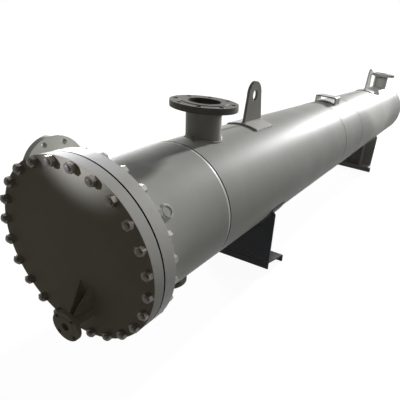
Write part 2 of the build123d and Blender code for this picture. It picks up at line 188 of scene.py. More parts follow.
def add_node(tree, kind, inputs=None, stops=(), **settings):
    """Adds one node. Each input is a value, or a socket to link from, and stops are the places
    and colours on a colour ramp."""
    node = tree.nodes.new(kind)
    for name, value in settings.items():
        setattr(node, name, value)
    for key, value in (inputs or {}).items():
        if isinstance(value, bpy.types.NodeSocket):
            tree.links.new(value, node.inputs[key])
        else:
            node.inputs[key].default_value = value
    for index, (position, colour) in enumerate(stops):
        stop = node.color_ramp.elements[index]
        stop.position, stop.color = position, linear(colour)
    return node


# Sizes of the patterns. A coat and its rust vary over hand-sized patches. Orange peel, dust and
# the gasket's flecks are 1 to 3 mm or less, and are drawn coarse enough to show.
coat_patch = 420 * MM
dust_speck = 18 * MM
orange_peel = 6 * MM
orange_peel_depth = 0.12 * MM
rust_patch = 35 * MM
rust_grain = 3 * MM
rust_depth = 0.3 * MM
gasket_fleck = 4 * MM
band_blend = 0.6 * MM


def new_material(name, roughness, metallic=0.0, gloss=0.5):
    """A material of one shader, its node tree, and the place that its patterns are drawn by."""
    material = bpy.data.materials.new(name)
    material.use_nodes = True
    tree = material.node_tree
    tree.nodes.clear()
    shader = add_node(tree, "ShaderNodeBsdfPrincipled", {
        "Roughness": roughness, "Metallic": metallic, "Specular IOR Level": gloss})
    add_node(tree, "ShaderNodeOutputMaterial", {"Surface": shader.outputs[0]})
    place = add_node(tree, "ShaderNodeTexCoord").outputs["Object"]
    return material, tree, shader, place


def sprayed_paint(where, thin, thick, dust, roughness, gloss):
    """Silver-grey alkyd paint sprayed over steel plate. It gives a soft sheen with faint orange
    peel, slow changes of tone where the coat is thinner, and a little settled dust in specks."""
    material, tree, shader, place = new_material(
        "silver_alkyd_paint_on_" + where, roughness, gloss=gloss)
    patches = add_node(tree, "ShaderNodeTexNoise", {
        "Vector": place, "Scale": 1 / coat_patch, "Detail": 4})
    coat = add_node(tree, "ShaderNodeValToRGB", {"Fac": patches.outputs["Fac"]},
                    stops=((0.35, thin), (0.68, thick)))
    settled = add_node(tree, "ShaderNodeTexNoise", {
        "Vector": place, "Scale": 1 / dust_speck, "Detail": 3, "Roughness": 0.6})
    specks = add_node(tree, "ShaderNodeMapRange", {
        "Value": settled.outputs["Fac"], "From Min": 0.6, "From Max": 0.8, "To Max": 0.35})
    tone = add_node(tree, "ShaderNodeMix", {
        0: specks.outputs[0], 6: coat.outputs["Color"], 7: linear(dust)}, data_type="RGBA")
    tree.links.new(tone.outputs[2], shader.inputs["Base Color"])
    peel = add_node(tree, "ShaderNodeTexNoise", {"Vector": place, "Scale": 1 / orange_peel})
    bump = add_node(tree, "ShaderNodeBump", {
        "Height": peel.outputs["Fac"], "Distance": orange_peel_depth, "Strength": 0.6})
    tree.links.new(bump.outputs[0], shader.inputs["Normal"])
    return material


def rusted_steel(name, steel, rust, metallic, roughness):
    """Carbon steel under a thin uneven film: brown rust where it is left bare inside the vessel,
    and worn grey paint on the studs and nuts. The metal's own dull sheen shows through."""
    material, tree, shader, place = new_material(name, roughness, metallic)
    patches = add_node(tree, "ShaderNodeTexNoise", {
        "Vector": place, "Scale": 1 / rust_patch, "Detail": 5, "Roughness": 0.6})
    film = add_node(tree, "ShaderNodeValToRGB", {"Fac": patches.outputs["Fac"]},
                    stops=((0.38, steel), (0.62, rust)))
    tree.links.new(film.outputs["Color"], shader.inputs["Base Color"])
    grain = add_node(tree, "ShaderNodeTexNoise", {
        "Vector": place, "Scale": 1 / rust_grain, "Detail": 3})
    bump = add_node(tree, "ShaderNodeBump", {
        "Height": grain.outputs["Fac"], "Distance": rust_depth, "Strength": 0.5})
    tree.links.new(bump.outputs[0], shader.inputs["Normal"])
    return material


def fibre_sheet(name, colour, fleck):
    """Graphite gasket sheet, cut from a roll: dull black with fine grey flecks."""
    material, tree, shader, place = new_material(name, 0.75)
    flecks = add_node(tree, "ShaderNodeTexNoise", {
        "Vector": place, "Scale": 1 / gasket_fleck, "Detail": 3})
    tone = add_node(tree, "ShaderNodeValToRGB", {"Fac": flecks.outputs["Fac"]},
                    stops=((0.45, colour), (0.75, fleck)))
    tree.links.new(tone.outputs["Color"], shader.inputs["Base Color"])
    return material


def band_of_colour(material, colour, edge_y, way):
    """Turns a piece's paint to another colour past a place along the vessel: towards the dished
    end where way is 1, and towards the cover where it is -1."""
    tree = material.node_tree
    shader = tree.nodes["Principled BSDF"]
    coat = shader.inputs["Base Color"].links[0].from_socket
    place = add_node(tree, "ShaderNodeTexCoord").outputs["Object"]
    along = add_node(tree, "ShaderNodeSeparateXYZ", {0: place}).outputs["Y"]
    past = add_node(tree, "ShaderNodeMapRange", {
        "Value": along, "From Min": edge_y, "From Max": edge_y + way * band_blend})
    tone = add_node(tree, "ShaderNodeMix", {
        0: past.outputs[0], 6: coat, 7: linear(colour)}, data_type="RGBA")
    tree.links.new(tone.outputs[2], shader.inputs["Base Color"])


# One silver paint in several shades: where the real piece stands in stronger or weaker light than
# these lamps give, its shade is lighter or darker, so that it meets the eye with the same tone.
# Each line gives the thin coat, the thick coat, the dust, the roughness and the gloss.
shell_paint = sprayed_paint("shell", "#b0b0aa", "#bdbdb7", "#a29f97", 0.5, 0.08)
cover_paint = sprayed_paint("cover", "#a29c87", "#aca692", "#8c8571", 0.65, 0.1)
flange_paint = sprayed_paint("flange", "#c8c7c1", "#d2d1cb", "#a5a29a", 0.46, 0.12)
nozzle_paint = sprayed_paint("nozzles", "#65635c", "#75736c", "#55524b", 0.5, 0.12)
neck_paint = sprayed_paint("necks_and_lugs", "#9d9b94", "#aaa8a1", "#7f7c74", 0.5, 0.15)
saddle_paint = sprayed_paint("front_saddle", "#5b5c60", "#686a6d", "#535456", 0.55, 0.15)
rear_saddle_paint = sprayed_paint("rear_saddle", "#c0beb8", "#ccc9c3", "#a9a69e", 0.55, 0.15)
weld_paint = sprayed_paint("welds", "#b2b2ac", "#c2c2bd", "#a5a29a", 0.45, 0.2)
pad_paint = sprayed_paint("pads", "#d4d3cd", "#dddcd6", "#b5b2aa", 0.46, 0.12)
fastener_paint = rusted_steel("painted_stud_steel", "#6a665f", "#4b4037", 0.3, 0.45)
bare_steel = rusted_steel("bare_carbon_steel", "#6f5a4d", "#4d2f22", 0.4, 0.6)
gasket_sheet = fibre_sheet("graphite_gasket_sheet", "#0c0c0c", "#1c1c1c")

# Painted light and shade in bands along the vessel: the cover's front is darker than its rim,
# both sides of the gasket are dark where the joint gapes, and the nuts' sides and the nuts behind
# the flange are lighter than their front.
front_skin = 0.9 * MM
joint_gap = 1.6 * MM
nut_chamfer_h = 1.6 * MM
back_nut_gap = 1 * MM
painted_joint_shade = "#0a0908"
# Painted shade: the cover's front keeps its darker shade, for it stands in shade; past front_skin
# its rim is lighter.
band_of_colour(cover_paint, "#c4c3bd", cover.low.y + front_skin, 1)
# Painted shade: the last joint_gap of cover and flange beside the gasket are near black, as the
# shade inside the joint.
band_of_colour(cover_paint, painted_joint_shade, cover.high.y - joint_gap, 1)
band_of_colour(flange_paint, painted_joint_shade, flange.low.y + joint_gap, -1)
# Painted light: past their front chamfer the nuts are lighter, so that their sides lit from the
# near side look bright.
band_of_colour(fastener_paint, "#7b7369", cover.low.y - nut_h + nut_chamfer_h, 1)
# Painted light: the nuts behind the flange are lighter still, as where the lamps beyond the dished
# end light them.
band_of_colour(fastener_paint, "#9a9993", flange.high.y - back_nut_gap, 1)


# Making meshes and pieces
def link(name, mesh):
    made = bpy.data.objects.new(name, mesh)
    bpy.context.scene.collection.objects.link(made)
    return made


def evaluated(carrier):
    """The plain mesh that an object's modifiers make."""
    return bpy.data.meshes.new_from_object(
        carrier.evaluated_get(bpy.context.evaluated_depsgraph_get()))


def baked(mesh, kind, helper=None, **settings):
    """The plain mesh that one modifier makes of this mesh. A helper object is removed after."""
    carrier = link("carrier", mesh)
    modifier = carrier.modifiers.new("baked", kind)
    for name, value in settings.items():
        setattr(modifier, name, value)
    result = evaluated(carrier)
    bpy.data.objects.remove(carrier)
    if helper:
        bpy.data.objects.remove(helper)
    return result


def piece(name, mesh, material, stands_for=(), crease=35):
    """Shows a mesh as a piece of the object, smooth except at edges sharper than crease degrees.
    Its normals follow its large faces, so that flat faces stay flat beside rounded edges."""
    mesh.shade_smooth()
    mesh.set_sharp_from_angle(angle=math.radians(crease))
    mesh = baked(mesh, "WEIGHTED_NORMAL", keep_sharp=True)
    mesh.materials.clear()
    mesh.materials.append(material)
    made = link(name, mesh)
    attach(made, "root")
    if stands_for:
        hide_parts(*stands_for)


def to_mesh(shape):
    bmesh.ops.recalc_face_normals(shape, faces=shape.faces)
    mesh = bpy.data.meshes.new("shape")
    shape.to_mesh(mesh)
    shape.free()
    return mesh


def rings_to_faces(shape, rings, closed):
    """Joins neighbouring rings of vertices; a ring of one vertex is a pole."""
    pairs = list(zip(rings, rings[1:]))
    if closed:
        pairs.append((rings[-1], rings[0]))
    for one, other in pairs:
        for k in range(max(len(one), len(other))):
            corners = [one[k % len(one)], one[(k + 1) % len(one)],
                       other[(k + 1) % len(other)], other[k % len(other)]]
            corners = list(dict.fromkeys(corners))
            if len(corners) > 2:
                shape.faces.new(corners)


def turned(outline, place, steps):
    """Mesh of a section turned about the z of place. The section's points are radius and height;
    it is closed unless it starts and ends on the axis."""
    shape = bmesh.new()
    rings = []
    for radius, height in outline:
        count = 1 if radius == 0 else steps
        turn = 2 * math.pi / count
        rings.append([
            shape.verts.new(place @ Vector(
                (radius * math.cos(k * turn), radius * math.sin(k * turn), height)))
            for k in range(count)])
    rings_to_faces(shape, rings, closed=outline[0][0] != 0)
    return to_mesh(shape)


def eased(outline, ease):
    """The outline with each corner off the axis rounded over that length, or over just under
    half of a shorter side."""
    share = 0.45
    soft = []
    for index, corner in enumerate(outline):
        here = Vector(corner)
        if here.x == 0:
            soft.append(corner)
            continue
        before = Vector(outline[index - 1]) - here
        after = Vector(outline[(index + 1) % len(outline)]) - here
        step = min(ease, share * before.length, share * after.length)
        start, end = here + before.normalized() * step, here + after.normalized() * step
        soft += [tuple(start), tuple((start + 2 * here + end) / 4), tuple(end)]
    return soft


def drilled(mesh, drills, steps=hole_steps):
    """Mesh with round holes. A drill is a place, a radius, the two heights where the hole ends,
    and its edge's chamfer."""
    cutter = bmesh.new()
    for place, radius, start, end, chamfer in drills:
        wide = radius + 2 * chamfer
        outline = [(0, start - chamfer), (wide, start - chamfer), (radius, start + chamfer),
                   (radius, end - chamfer), (wide, end + chamfer), (0, end + chamfer)]
        one = turned(outline, place, steps)
        cutter.from_mesh(one)
        bpy.data.meshes.remove(one)
    tool = link("tool", to_mesh(cutter))
    return baked(mesh, "BOOLEAN", tool, operation="DIFFERENCE", solver="EXACT", object=tool)


def bolt_spots(circle_r, count, height=0.0):
    """Equally spaced places on a bolt circle, none of them on its x or y."""
    angles = [(k + 0.5) * 2 * math.pi / count for k in range(count)]
    return [Vector((circle_r * math.cos(a), circle_r * math.sin(a), height)) for a in angles]


def bolt_drills(place, bolts, start, end):
    """Drills for a ring of bolt holes."""
    circle_r, count, radius = bolts
    return [(place @ Matrix.Translation(spot), radius, start, end, hole_chamfer)
            for spot in bolt_spots(circle_r, count)]


def softened(name, material, ease=plate_ease, bends=None, bend_r=0.0):
    """A piece for a flat-plate node: its own mesh with eased edges. Edges that bends picks are
    rounded by bend_r."""
    merge_gap, flat_angle, corner_angle = 0.01 * MM, math.radians(0.3), math.radians(40)
    bend_segments, edge_segments = 5, 2
    shape = bmesh.new()
    shape.from_mesh(nodes[name].data)
    bmesh.ops.remove_doubles(shape, verts=shape.verts, dist=merge_gap)
    bmesh.ops.dissolve_limit(
        shape, angle_limit=flat_angle, verts=shape.verts, edges=shape.edges)
    rounds = [(None, ease, edge_segments)]
    if bends:
        rounds.insert(0, (bends, bend_r, bend_segments))
    for picked, width, segments in rounds:
        corners = [edge for edge in shape.edges if len(edge.link_faces) == 2
                   and edge.calc_face_angle(0) > corner_angle and (not picked or picked(edge))]
        bmesh.ops.bevel(shape, geom=corners, offset=width, segments=segments, profile=0.5,
                        affect="EDGES", clamp_overlap=True)
    piece(name + "_plate", to_mesh(shape), material, (name,), crease=50)


# The rolled shell, its dished end and its channel
def ring_outline(low, high, inner_r, outer_r):
    return [(inner_r, low), (outer_r, low), (outer_r, high), (inner_r, high)]


def shell_drill(place, bore_r):
    """Drill for a pipe's hole through the shell's wall, on one side of the axis only."""
    return place, bore_r + shell_hole_gap, 0.3 * shell_r, 1.3 * shell_r, hole_chamfer


def make_shell():
    for name, course, nozzle in (("shell_front", courses[0], top_front),
                                 ("shell_middle", courses[1], None),
                                 ("shell_rear", courses[2], top_rear)):
        outline = ring_outline(course.low.y, course.high.y, shell_r - wall, shell_r)
        mesh = turned(eased(outline, rolled_ease), vessel, vessel_steps)
        if nozzle:
            mesh = drilled(mesh, [shell_drill(nozzle, side_bore_r)])
        piece(name + "_course", mesh, shell_paint, (name,))


def make_head():
    """The dished end: a short straight skirt, then half an ellipse."""
    arc_steps = 24
    inner_r, tangent = shell_r - wall, head.low.y + head_skirt
    depth = head.high.y - tangent
    arc = [math.radians(90 * k / arc_steps) for k in range(arc_steps)]
    outer = [(shell_r * math.cos(a), tangent + depth * math.sin(a)) for a in arc]
    inner = [(inner_r * math.cos(a), tangent + (depth - wall) * math.sin(a)) for a in arc]
    outline = [(0, head.high.y)] + outer[::-1] + [(shell_r, head.low.y), (inner_r, head.low.y)]
    outline += inner + [(0, head.high.y - wall)]
    piece("rear_head_dish", turned(outline, vessel, disc_steps), shell_paint,
          ("rear_head",))


def make_channel():
    outline = ring_outline(barrel.low.y, barrel.high.y, shell_r - wall, shell_r)
    drills = [shell_drill(side, side_bore_r), shell_drill(bottom, bottom_bore_r),
              shell_drill(coupling_place, coupling_bore_r)]
    mesh = drilled(turned(eased(outline, rolled_ease), vessel, vessel_steps), drills)
    piece("channel_barrel_shell", mesh, shell_paint, ("channel_barrel",))


def tube_places():
    """The column and half height of each U tube in a full nest that keeps clear of the shell."""
    most_columns, most_rows = 8, 8
    made = []
    for column in range(-most_columns, most_columns + 1):
        for row in range(most_rows):
            across, leg = column * tube_step, first_leg + row * tube_step
            if math.hypot(across, leg) <= nest_r:
                made.append((across, leg))
    return made


def make_tube_sheet():
    """The tube sheet with a hole for each tube, and a step that the front seam is welded in."""
    chamfer, tube_chamfer = 1.5 * MM, 0.5 * MM
    step_depth, step_from, step_to = 5 * MM, 13 * MM, 1 * MM
    low, high = sheet.low.y, sheet.high.y
    outline = [(0, low), (shell_r - chamfer, low), (shell_r, low + chamfer),
               (shell_r, high - step_from), (shell_r - step_depth, high - step_to),
               (shell_r - step_depth, high), (0, high)]
    holes = []
    for column, leg in tube_places():
        for end in (-leg, leg):
            spot = vessel @ Matrix.Translation(Vector((column, end, 0)))
            holes.append((spot, tube_r + hole_gap, low, high, tube_chamfer))
    mesh = drilled(turned(outline, vessel, disc_steps), holes, tube_hole_steps)
    piece("tube_sheet_disc", mesh, flange_paint, ("tube_sheet",))


# The bolted cover joint
def make_cover_joint():
    bolts = (bolt_circle_r, bolt_count, bolt_hole_r)
    low, high = cover.low.y, cover.high.y
    outline = [(0, low), (flange_r, low), (flange_r, high), (0, high)]
    pipe_axis = Matrix.Translation(cover_pipe.translation - Vector((0, low, 0)))
    drills = bolt_drills(vessel, bolts, low, high)
    drills.append((pipe_axis @ place_at(Vector(), X, Y), cover_nozzle_bore_r + hole_gap, low, high,
                   hole_chamfer))
    mesh = drilled(turned(eased(outline, plate_ease), vessel, cover_steps), drills)
    piece("cover_disc", mesh, cover_paint, ("cover_plate",))
    low, high = flange.low.y, flange.high.y
    outline = ring_outline(low, high, shell_r - wall, flange_r)
    mesh = drilled(turned(eased(outline, plate_ease), vessel, cover_steps),
                   bolt_drills(vessel, bolts, low, high))
    piece("channel_flange_ring", mesh, flange_paint, ("channel_flange",))
    outline = ring_outline(gasket.low.y, gasket.high.y, shell_r - wall, gasket.size.x / 2)
    piece("gasket_ring", turned(eased(outline, rolled_ease), vessel, disc_steps), gasket_sheet,
          ("body_gasket",))


# Nozzles: a pipe set on the shell and a flange with a raised, grooved face. The laps are how far
# the pipe runs into its flange, and how far its foot is sunk into what it stands on.
flange_lap = 2 * MM
foot_lap = 1 * MM


def pipe_mesh(place, radius, wall_t, top, offset=0.0):
    """A pipe along the z of place, cut at its foot to sit on the shell. Offset is how far the
    pipe's axis passes beside the shell's."""
    bore = radius - wall_t
    sections = ((radius, None), (radius, shell_r - foot_lap), (bore, shell_r - wall), (bore, None))
    shape = bmesh.new()
    rings = [[] for _ in sections]
    for k in range(pipe_steps):
        angle = 2 * math.pi * k / pipe_steps
        for ring, (r, seat_r) in zip(rings, sections):
            across, along = r * math.cos(angle), r * math.sin(angle)
            height = math.sqrt(seat_r ** 2 - (offset + across) ** 2) if seat_r else top
            ring.append(shape.verts.new(place @ Vector((across, along, height))))
    rings_to_faces(shape, rings, closed=True)
    return to_mesh(shape)


def grooved_face(bore, face_r, height):
    """Outline of a raised face from its rim inwards, with turned grooves."""
    from_rim, from_bore = face_groove_margins
    made = [(face_r, height)]
    radius = face_r - from_rim
    while radius > bore + from_bore:
        made += [(radius, height), (radius - face_groove_pitch / 2, height - face_groove_depth)]
        radius -= face_groove_pitch
    return made + [(bore + from_bore / 2, height), (bore, height)]


def flange_mesh(place, bore, radius, face_r, start, end, face_h, bolts):
    outline = [(bore, start), (radius, start), (radius, end - face_h), (face_r, end - face_h)]
    plain = eased(outline, forged_ease)[:-2]
    outline = plain[1:] + grooved_face(bore, face_r, end) + [plain[0]]
    return drilled(turned(outline, place, flange_steps),
                   bolt_drills(place, bolts, start, end - face_h))


def heights_of(disc, place):
    """How far along the z of place a flange's box starts and ends."""
    out = place.to_3x3().col[2]
    return sorted((corner - place.translation).dot(out) for corner in (disc.low, disc.high))


def make_shell_nozzle(name, place, pipe, neck_coat, face_coat, offset=0.0):
    wall_t, face_r, bolts = pipe
    disc, radius = span[name + "_flange"], span[name + "_neck"].size.y / 2
    start, end = heights_of(disc, place)
    piece(name + "_pipe", pipe_mesh(place, radius, wall_t, start + flange_lap, offset), neck_coat,
          (name + "_neck",))
    mesh = flange_mesh(place, radius - wall_t, disc.size.y / 2, face_r, start, end, raised_face_h,
                       bolts)
    piece(name + "_ring", mesh, face_coat, (name + "_flange",))


def make_cover_nozzle():
    disc = cover_pipe_flange
    start, end = cover.low.y - disc.high.y, cover.low.y - disc.low.y
    outline = ring_outline(-foot_lap, start + flange_lap, cover_nozzle_bore_r,
                           cover_neck.size.x / 2)
    piece("cover_nozzle_pipe", turned(outline, cover_pipe, small_pipe_steps), cover_paint,
          ("cover_nozzle_neck",))
    mesh = flange_mesh(cover_pipe, cover_nozzle_bore_r, disc.size.x / 2, cover_face_r, start, end,
                       cover_face_h, cover_nozzle_bolts)
    piece("cover_nozzle_ring", mesh, cover_paint, ("cover_nozzle_flange",))
    softened("cover_nozzle_gussets", cover_paint, rolled_ease)


def make_coupling():
    """The small boss on the channel and the plug that closes it."""
    foot, top = shell_r - wall, shell_r + coupling_h
    outline = eased(ring_outline(foot, top, coupling_bore_r, boss_r), boss_ease)
    piece("coupling_boss", turned(outline, coupling_place, small_pipe_steps), shell_paint,
          ("channel_coupling",))
    top -= plug_recess
    outline = [(0, foot), (coupling_bore_r, foot), (coupling_bore_r, top), (0, top)]
    piece("coupling_plug", turned(eased(outline, forged_ease), coupling_place, hole_steps),
          shell_paint, ("channel_plug",))


# Geometry Nodes: weld beads, bolts and tubes
def new_tree(name, sockets):
    """A Geometry Nodes tree with a geometry input and these named inputs."""
    tree = bpy.data.node_groups.new(name, "GeometryNodeTree")
    tree.interface.new_socket("Geometry", in_out="OUTPUT", socket_type="NodeSocketGeometry")
    tree.interface.new_socket("Geometry", in_out="INPUT", socket_type="NodeSocketGeometry")
    for label, kind in sockets:
        tree.interface.new_socket(label, in_out="INPUT", socket_type="NodeSocket" + kind)
    return tree, add_node(tree, "NodeGroupInput").outputs


def end_tree(tree, geometry, material):
    """Ends a tree in Realize Instances and Set Material."""
    real = add_node(tree, "GeometryNodeRealizeInstances", {"Geometry": geometry})
    dressed = add_node(tree, "GeometryNodeSetMaterial", {
        "Geometry": real.outputs[0], "Material": material})
    add_node(tree, "NodeGroupOutput", {0: dressed.outputs[0]})


def grown(name, mesh, tree, values):
    """The plain mesh that the tree makes of this mesh."""
    carrier = link(name, mesh)
    modifier = carrier.modifiers.new("grown", "NODES")
    modifier.node_group = tree
    for item in tree.interface.items_tree:
        if item.in_out == "INPUT" and item.name in values:
            modifier[item.identifier] = values[item.name]
    result = evaluated(carrier)
    carrier.modifiers.remove(modifier)
    bpy.data.objects.remove(carrier)
    return result


def weld_bead_tree():
    """A rippled bead along every edge path of the mesh. Its radius swells and shrinks with each
    ripple, and wanders a little along the seam."""
    points_per_ripple = 3
    wander_length, wander_share, least_swell = 30 * MM, 0.4, 0.8
    tree, given = new_tree("weld_bead", (
        ("Bead Radius", "Float"), ("Ripple Spacing", "Float"), ("Ripple Depth", "Float"),
        ("Material", "Material")))
    path = add_node(tree, "GeometryNodeMeshToCurve", {"Mesh": given["Geometry"]})
    step = add_node(tree, "ShaderNodeMath", {0: given["Ripple Spacing"], 1: points_per_ripple},
                    operation="DIVIDE")
    path = add_node(tree, "GeometryNodeResampleCurve", {
        "Curve": path.outputs[0], "Length": step.outputs[0]}, mode="LENGTH")
    along = add_node(tree, "GeometryNodeSplineParameter")
    turns = add_node(tree, "ShaderNodeMath", {0: along.outputs["Length"], 1: 2 * math.pi},
                     operation="MULTIPLY")
    phase = add_node(tree, "ShaderNodeMath", {0: turns.outputs[0], 1: given["Ripple Spacing"]},
                     operation="DIVIDE")
    wave = add_node(tree, "ShaderNodeMath", {0: phase.outputs[0]}, operation="SINE")
    ripple = add_node(tree, "ShaderNodeMath", {0: wave.outputs[0], 1: given["Ripple Depth"]},
                      operation="MULTIPLY")
    chance = add_node(tree, "ShaderNodeTexNoise", {"Scale": 1 / wander_length, "Detail": 1})
    wander = add_node(tree, "ShaderNodeMath", {0: chance.outputs["Fac"], 1: wander_share},
                      operation="MULTIPLY")
    both = add_node(tree, "ShaderNodeMath", {0: ripple.outputs[0], 1: wander.outputs[0]},
                    operation="ADD")
    swell = add_node(tree, "ShaderNodeMath", {0: both.outputs[0], 1: least_swell},
                     operation="ADD")
    profile = add_node(tree, "GeometryNodeCurvePrimitiveCircle", {
        "Resolution": 8, "Radius": given["Bead Radius"]})
    bead = add_node(tree, "GeometryNodeCurveToMesh", {
        "Curve": path.outputs[0], "Profile Curve": profile.outputs[0],
        "Scale": swell.outputs[0], "Fill Caps": True})
    end_tree(tree, bead.outputs[0], given["Material"])
    return tree


def bolt_ring_tree():
    """The fastener at every point of the mesh, each turned about its own length by chance."""
    tree, given = new_tree("bolt_ring", (
        ("Fastener", "Object"), ("Seed", "Int"), ("Material", "Material")))
    part = add_node(tree, "GeometryNodeObjectInfo", {"Object": given["Fastener"]})
    chance = add_node(tree, "FunctionNodeRandomValue", {"Seed": given["Seed"], 3: math.pi / 3})
    turn = add_node(tree, "FunctionNodeAxisAngleToRotation", {
        "Axis": Y, "Angle": chance.outputs[1]})
    bolts = add_node(tree, "GeometryNodeInstanceOnPoints", {
        "Points": given["Geometry"], "Instance": part.outputs["Geometry"],
        "Rotation": turn.outputs[0]})
    end_tree(tree, bolts.outputs[0], given["Material"])
    return tree


def tube_nest_tree():
    """A tube along every edge path of the mesh."""
    tree, given = new_tree("tube_nest", (("Tube Radius", "Float"), ("Material", "Material")))
    path = add_node(tree, "GeometryNodeMeshToCurve", {"Mesh": given["Geometry"]})
    profile = add_node(tree, "GeometryNodeCurvePrimitiveCircle", {
        "Resolution": 10, "Radius": given["Tube Radius"]})
    tube = add_node(tree, "GeometryNodeCurveToMesh", {
        "Curve": path.outputs[0], "Profile Curve": profile.outputs[0], "Fill Caps": True})
    end_tree(tree, tube.outputs[0], given["Material"])
    return tree


def paths_mesh(paths):
    """Mesh of edges only. A path is its points, and whether it closes."""
    points, edges = [], []
    for path, closed in paths:
        first = len(points)
        points += [tuple(p) for p in path]
        edges += [(first + k, first + k + 1) for k in range(len(path) - 1)]
        if closed:
            edges.append((len(points) - 1, first))
    mesh = bpy.data.meshes.new("paths")
    mesh.from_pydata(points, edges, [])
    return mesh


# Studs and nuts
def nut_rings(start, height):
    """Rings of a hexagon nut along its axis, with both ends chamfered."""
    rings, chamfer_r, slope, steps = [], 0.525 * nut_flats, math.pi / 6, 24
    for inner, level in ((True, 0), (False, 0), (False, 1), (False, 2), (False, 3), (True, 3)):
        ring = []
        for k in range(steps):
            angle = math.radians(360 // steps * k)
            flat = nut_flats / 2 / math.cos((angle + math.pi / 6) % (math.pi / 3) - math.pi / 6)
            drop = max(0.0, flat - chamfer_r) * math.tan(slope)
            radius = stud_r if inner else min(flat, chamfer_r) if level in (0, 3) else flat
            rise = (0, drop, height - drop, height)[level]
            ring.append(Vector((radius * math.cos(angle), start + rise,
                                radius * math.sin(angle))))
        rings.append(ring)
    return rings


def stud_outline(low, high, threaded):
    """Section of a stud along its length: rounded tips, and a thread of that length at each."""
    thread_depth, half_pitch = 1.3 * MM, stud_pitch / 2
    rounding = ((3 * MM, 0.3 * MM), (1.5 * MM, 1 * MM))
    made = [(0, low)] + [(stud_r - inwards, low + along) for inwards, along in rounding]
    for k in range(int(threaded / stud_pitch)):
        made += [(stud_r, low + half_pitch + k * stud_pitch),
                 (stud_r - thread_depth, low + stud_pitch + k * stud_pitch)]
    return made + [(r, low + high - y) for r, y in reversed(made)]


def make_fasteners():
    """Stud bolts with a nut at each end, on the bolt circle."""
    past = cover.low.y - nut_h - span["cover_studs"].low.y
    grip = flange.high.y - cover.low.y
    shape = bmesh.new()
    for start in (-nut_h, grip):
        rings = [[shape.verts.new(p) for p in ring] for ring in nut_rings(start, nut_h)]
        rings_to_faces(shape, rings, closed=True)
    outline = stud_outline(-nut_h - past, grip + nut_h + past, past + nut_h / 2)
    shape.from_mesh(turned(outline, place_at(Vector(), X, Y), stud_steps))
    fastener = link("fastener", to_mesh(shape))
    spots = bpy.data.meshes.new("spots")
    spots.from_pydata([tuple(vessel @ spot) for spot in bolt_spots(
        bolt_circle_r, bolt_count, cover.low.y)], [], [])
    mesh = grown("studs_and_nuts", spots, bolt_ring_tree(), {
        "Fastener": fastener, "Seed": 7, "Material": fastener_paint})
    bpy.data.objects.remove(fastener)
    piece("studs_and_nuts", mesh, fastener_paint,
          ("cover_studs", "cover_nuts"), crease=25)


def make_tubes():
    """The full nest of U tubes, whose ends stand a little out of the tube sheet."""
    stand_out, bend_steps = 3 * MM, 12
    start = sheet.low.y - stand_out
    straight_end = bends_y - tube_r - (first_leg + last_row * tube_step)
    paths = []
    for column, leg in tube_places():
        low, high = axis_z - leg, axis_z + leg
        lower = [Vector((column, start, low)), Vector((column, straight_end, low))]
        bend = [Vector((column, straight_end + leg * math.sin(a), axis_z - leg * math.cos(a)))
                for a in (math.pi * k / bend_steps for k in range(1, bend_steps))]
        upper = [Vector((column, straight_end, high)), Vector((column, start, high))]
        paths.append((lower + bend + upper, False))
    mesh = grown("tube_nest", paths_mesh(paths), tube_nest_tree(), {
        "Tube Radius": tube_r, "Material": bare_steel})
    piece("tube_nest", mesh, bare_steel, ("tube_bundle",), crease=40)


# Plates: lugs, bracket and saddles
def make_plates():
    for name, coat in (("lug_front", neck_paint), ("lug_rear", pad_paint)):
        softened(name, coat, forged_ease)
        softened(name + "_pad", pad_paint, forged_ease)
    softened("nameplate_bracket", pad_paint)
    fold_r, long_edge, level = 9 * MM, 0.3, 0.1 * MM
    for saddle, coat in (("front_saddle", saddle_paint), ("rear_saddle", rear_saddle_paint)):
        softened(saddle + "_web", coat)
        softened(saddle + "_ribs", coat)
        softened(saddle + "_wear_plate", coat, forged_ease)
        top = span[saddle + "_base"].high.z
        softened(saddle + "_base", coat, plate_ease,
                 lambda edge: edge.calc_length() > long_edge
                 and all(abs(v.co.z - top) < level for v in edge.verts), fold_r)


# Welds: how far the middle of a bead stands off the corner that it fills, each bead's radius,
# and its ripples, whose depth is a share of that radius. The seams' beads lie sunk in the shell.
bead_off = 1 * MM
foot_off = 2 * MM
seam_bead, seam_sink = 6.5 * MM, 4.5 * MM
flange_bead = 6 * MM
foot_bead = 7 * MM
lug_bead = 5.5 * MM
small_bead = 5 * MM
pad_bead = 4 * MM
ripple_spacing, ripple_depth = 7 * MM, 0.12
seam_ripple_spacing, seam_ripple_depth = 9 * MM, 0.06
small_ripple_spacing = 5 * MM
bead_tree = weld_bead_tree()


def weld(name, paths, radius, material, spacing=ripple_spacing, depth=ripple_depth):
    mesh = grown(name, paths_mesh(paths), bead_tree, {
        "Bead Radius": radius, "Ripple Spacing": spacing, "Ripple Depth": depth,
        "Material": material})
    piece(name, mesh, material, crease=60)


def level_ring(place, radius, height, steps=small_pipe_steps):
    """Closed path round the z of place, at one height."""
    angles = [2 * math.pi * k / steps for k in range(steps)]
    return [place @ Vector((radius * math.cos(a), radius * math.sin(a), height))
            for a in angles], True


def foot_ring(place, radius, offset=0.0):
    """Closed path where a pipe of that radius meets the shell."""
    path = []
    for k in range(pipe_steps):
        angle = 2 * math.pi * k / pipe_steps
        across, along = radius * math.cos(angle), radius * math.sin(angle)
        height = math.sqrt(shell_r ** 2 - (offset + across) ** 2) + bead_off
        path.append(place @ Vector((across, along, height)))
    return path, True


def rolled_rectangle(low, high, steps=16):
    """Closed path round a plate's edge on the shell, from its box."""
    half = (high.x - low.x) / 2
    reach = shell_r + bead_off
    arc = [half * (2 * k / steps - 1) for k in range(steps + 1)]
    front = [Vector((x, low.y, axis_z + math.sqrt(reach ** 2 - x ** 2))) for x in arc]
    back = [Vector((x, high.y, axis_z + math.sqrt(reach ** 2 - x ** 2))) for x in reversed(arc)]
    return front + back, True


